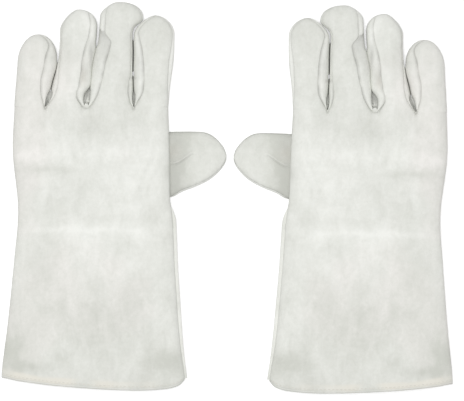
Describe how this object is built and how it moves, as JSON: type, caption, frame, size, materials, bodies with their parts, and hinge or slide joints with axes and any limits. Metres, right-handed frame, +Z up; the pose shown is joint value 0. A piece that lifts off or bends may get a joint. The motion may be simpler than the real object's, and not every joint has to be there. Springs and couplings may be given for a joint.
{
  "type": "welding gloves",
  "caption": "Pair of long split-leather gauntlets with fourchette fingers, wing thumbs and flared cuffs, lined in cotton, laid flat palm down.",
  "frame": {"origin": "centre of the pair in plan, on the surface that the palms lie on", "axes": "+X from the left-hand glove to the right-hand glove, +Y from the cuffs to the fingertips, +Z up out of the backs"},
  "size_m": [0.4096, 0.3548, 0.0266],
  "materials": {
    "split_leather": "matt suede nap",
    "cotton_lining": "matt brushed cotton"
  },
  "bodies": {
    "left_hand": {"left_hand_back": "split_leather", "left_palm": "split_leather", "left_cuff_front": "split_leather", "left_crotch_webs": "split_leather", "left_side_welts": "split_leather", "left_hem_facing": "cotton_lining", "left_cuff_lining": "cotton_lining", "left_hand_lining": "cotton_lining"},
    "left_little": {"left_little_back": "split_leather", "left_little_front": "split_leather", "left_little_fourchette": "split_leather", "left_little_lining": "cotton_lining"},
    "left_ring": {"left_ring_back": "split_leather", "left_ring_front": "split_leather", "left_ring_fourchettes": "split_leather", "left_ring_lining": "cotton_lining"},
    "left_middle": {"left_middle_back": "split_leather", "left_middle_front": "split_leather", "left_middle_fourchettes": "split_leather", "left_middle_lining": "cotton_lining"},
    "left_index": {"left_index_back": "split_leather", "left_index_front": "split_leather", "left_index_fourchette": "split_leather", "left_index_lining": "cotton_lining"},
    "left_thumb": {"left_thumb_upper": "split_leather", "left_thumb_lower": "split_leather", "left_thumb_lining": "cotton_lining"},
    "right_hand": {"right_hand_back": "split_leather", "right_palm": "split_leather", "right_cuff_front": "split_leather", "right_crotch_webs": "split_leather", "right_side_welts": "split_leather", "right_hem_facing": "cotton_lining", "right_cuff_lining": "cotton_lining", "right_hand_lining": "cotton_lining"},
    "right_little": {"right_little_back": "split_leather", "right_little_front": "split_leather", "right_little_fourchette": "split_leather", "right_little_lining": "cotton_lining"},
    "right_ring": {"right_ring_back": "split_leather", "right_ring_front": "split_leather", "right_ring_fourchettes": "split_leather", "right_ring_lining": "cotton_lining"},
    "right_middle": {"right_middle_back": "split_leather", "right_middle_front": "split_leather", "right_middle_fourchettes": "split_leather", "right_middle_lining": "cotton_lining"},
    "right_index": {"right_index_back": "split_leather", "right_index_front": "split_leather", "right_index_fourchette": "split_leather", "right_index_lining": "cotton_lining"},
    "right_thumb": {"right_thumb_upper": "split_leather", "right_thumb_lower": "split_leather", "right_thumb_lining": "cotton_lining"}
  },
  "joints": [
    {"name": "left_little_flex", "type": "hinge", "parent": "left_hand", "child": "left_little", "pos_m": [-0.17862, 0.08715, 0], "axis": [-0.9925, 0.1219, 0], "range_deg": [0, 75]},
    {"name": "left_ring_flex", "type": "hinge", "parent": "left_hand", "child": "left_ring", "pos_m": [-0.14439, 0.08715, 0], "axis": [-0.9903, 0.1392, 0], "range_deg": [0, 75]},
    {"name": "left_middle_flex", "type": "hinge", "parent": "left_hand", "child": "left_middle", "pos_m": [-0.10671, 0.08715, 0], "axis": [-0.9962, 0.0872, 0], "range_deg": [0, 75]},
    {"name": "left_index_flex", "type": "hinge", "parent": "left_hand", "child": "left_index", "pos_m": [-0.0686, 0.08715, 0], "axis": [-0.9997, 0.0262, 0], "range_deg": [0, 75]},
    {"name": "left_thumb_flex", "type": "hinge", "parent": "left_hand", "child": "left_thumb", "pos_m": [-0.05137, 0.03025, 0], "axis": [0, 1, 0], "range_deg": [0, 70]},
    {"name": "right_glove_lift", "type": "slide", "parent": "left_hand", "child": "right_hand", "axis": [0, 0, 1], "range_m": [0, 0.15]},
    {"name": "right_little_flex", "type": "hinge", "parent": "right_hand", "child": "right_little", "pos_m": [0.18509, 0.08194, 0], "axis": [-0.9954, -0.0958, 0], "range_deg": [0, 75]},
    {"name": "right_ring_flex", "type": "hinge", "parent": "right_hand", "child": "right_ring", "pos_m": [0.15088, 0.08284, 0], "axis": [-0.9936, -0.1132, 0], "range_deg": [0, 75]},
    {"name": "right_middle_flex", "type": "hinge", "parent": "right_hand", "child": "right_middle", "pos_m": [0.11321, 0.08382, 0], "axis": [-0.9981, -0.061, 0], "range_deg": [0, 75]},
    {"name": "right_index_flex", "type": "hinge", "parent": "right_hand", "child": "right_index", "pos_m": [0.07511, 0.08482, 0], "axis": [-1, 0, 0], "range_deg": [0, 75]},
    {"name": "right_thumb_flex", "type": "hinge", "parent": "right_hand", "child": "right_thumb", "pos_m": [0.05639, 0.02839, 0], "axis": [-0.0262, -0.9997, 0], "range_deg": [0, 70]}
  ]
}
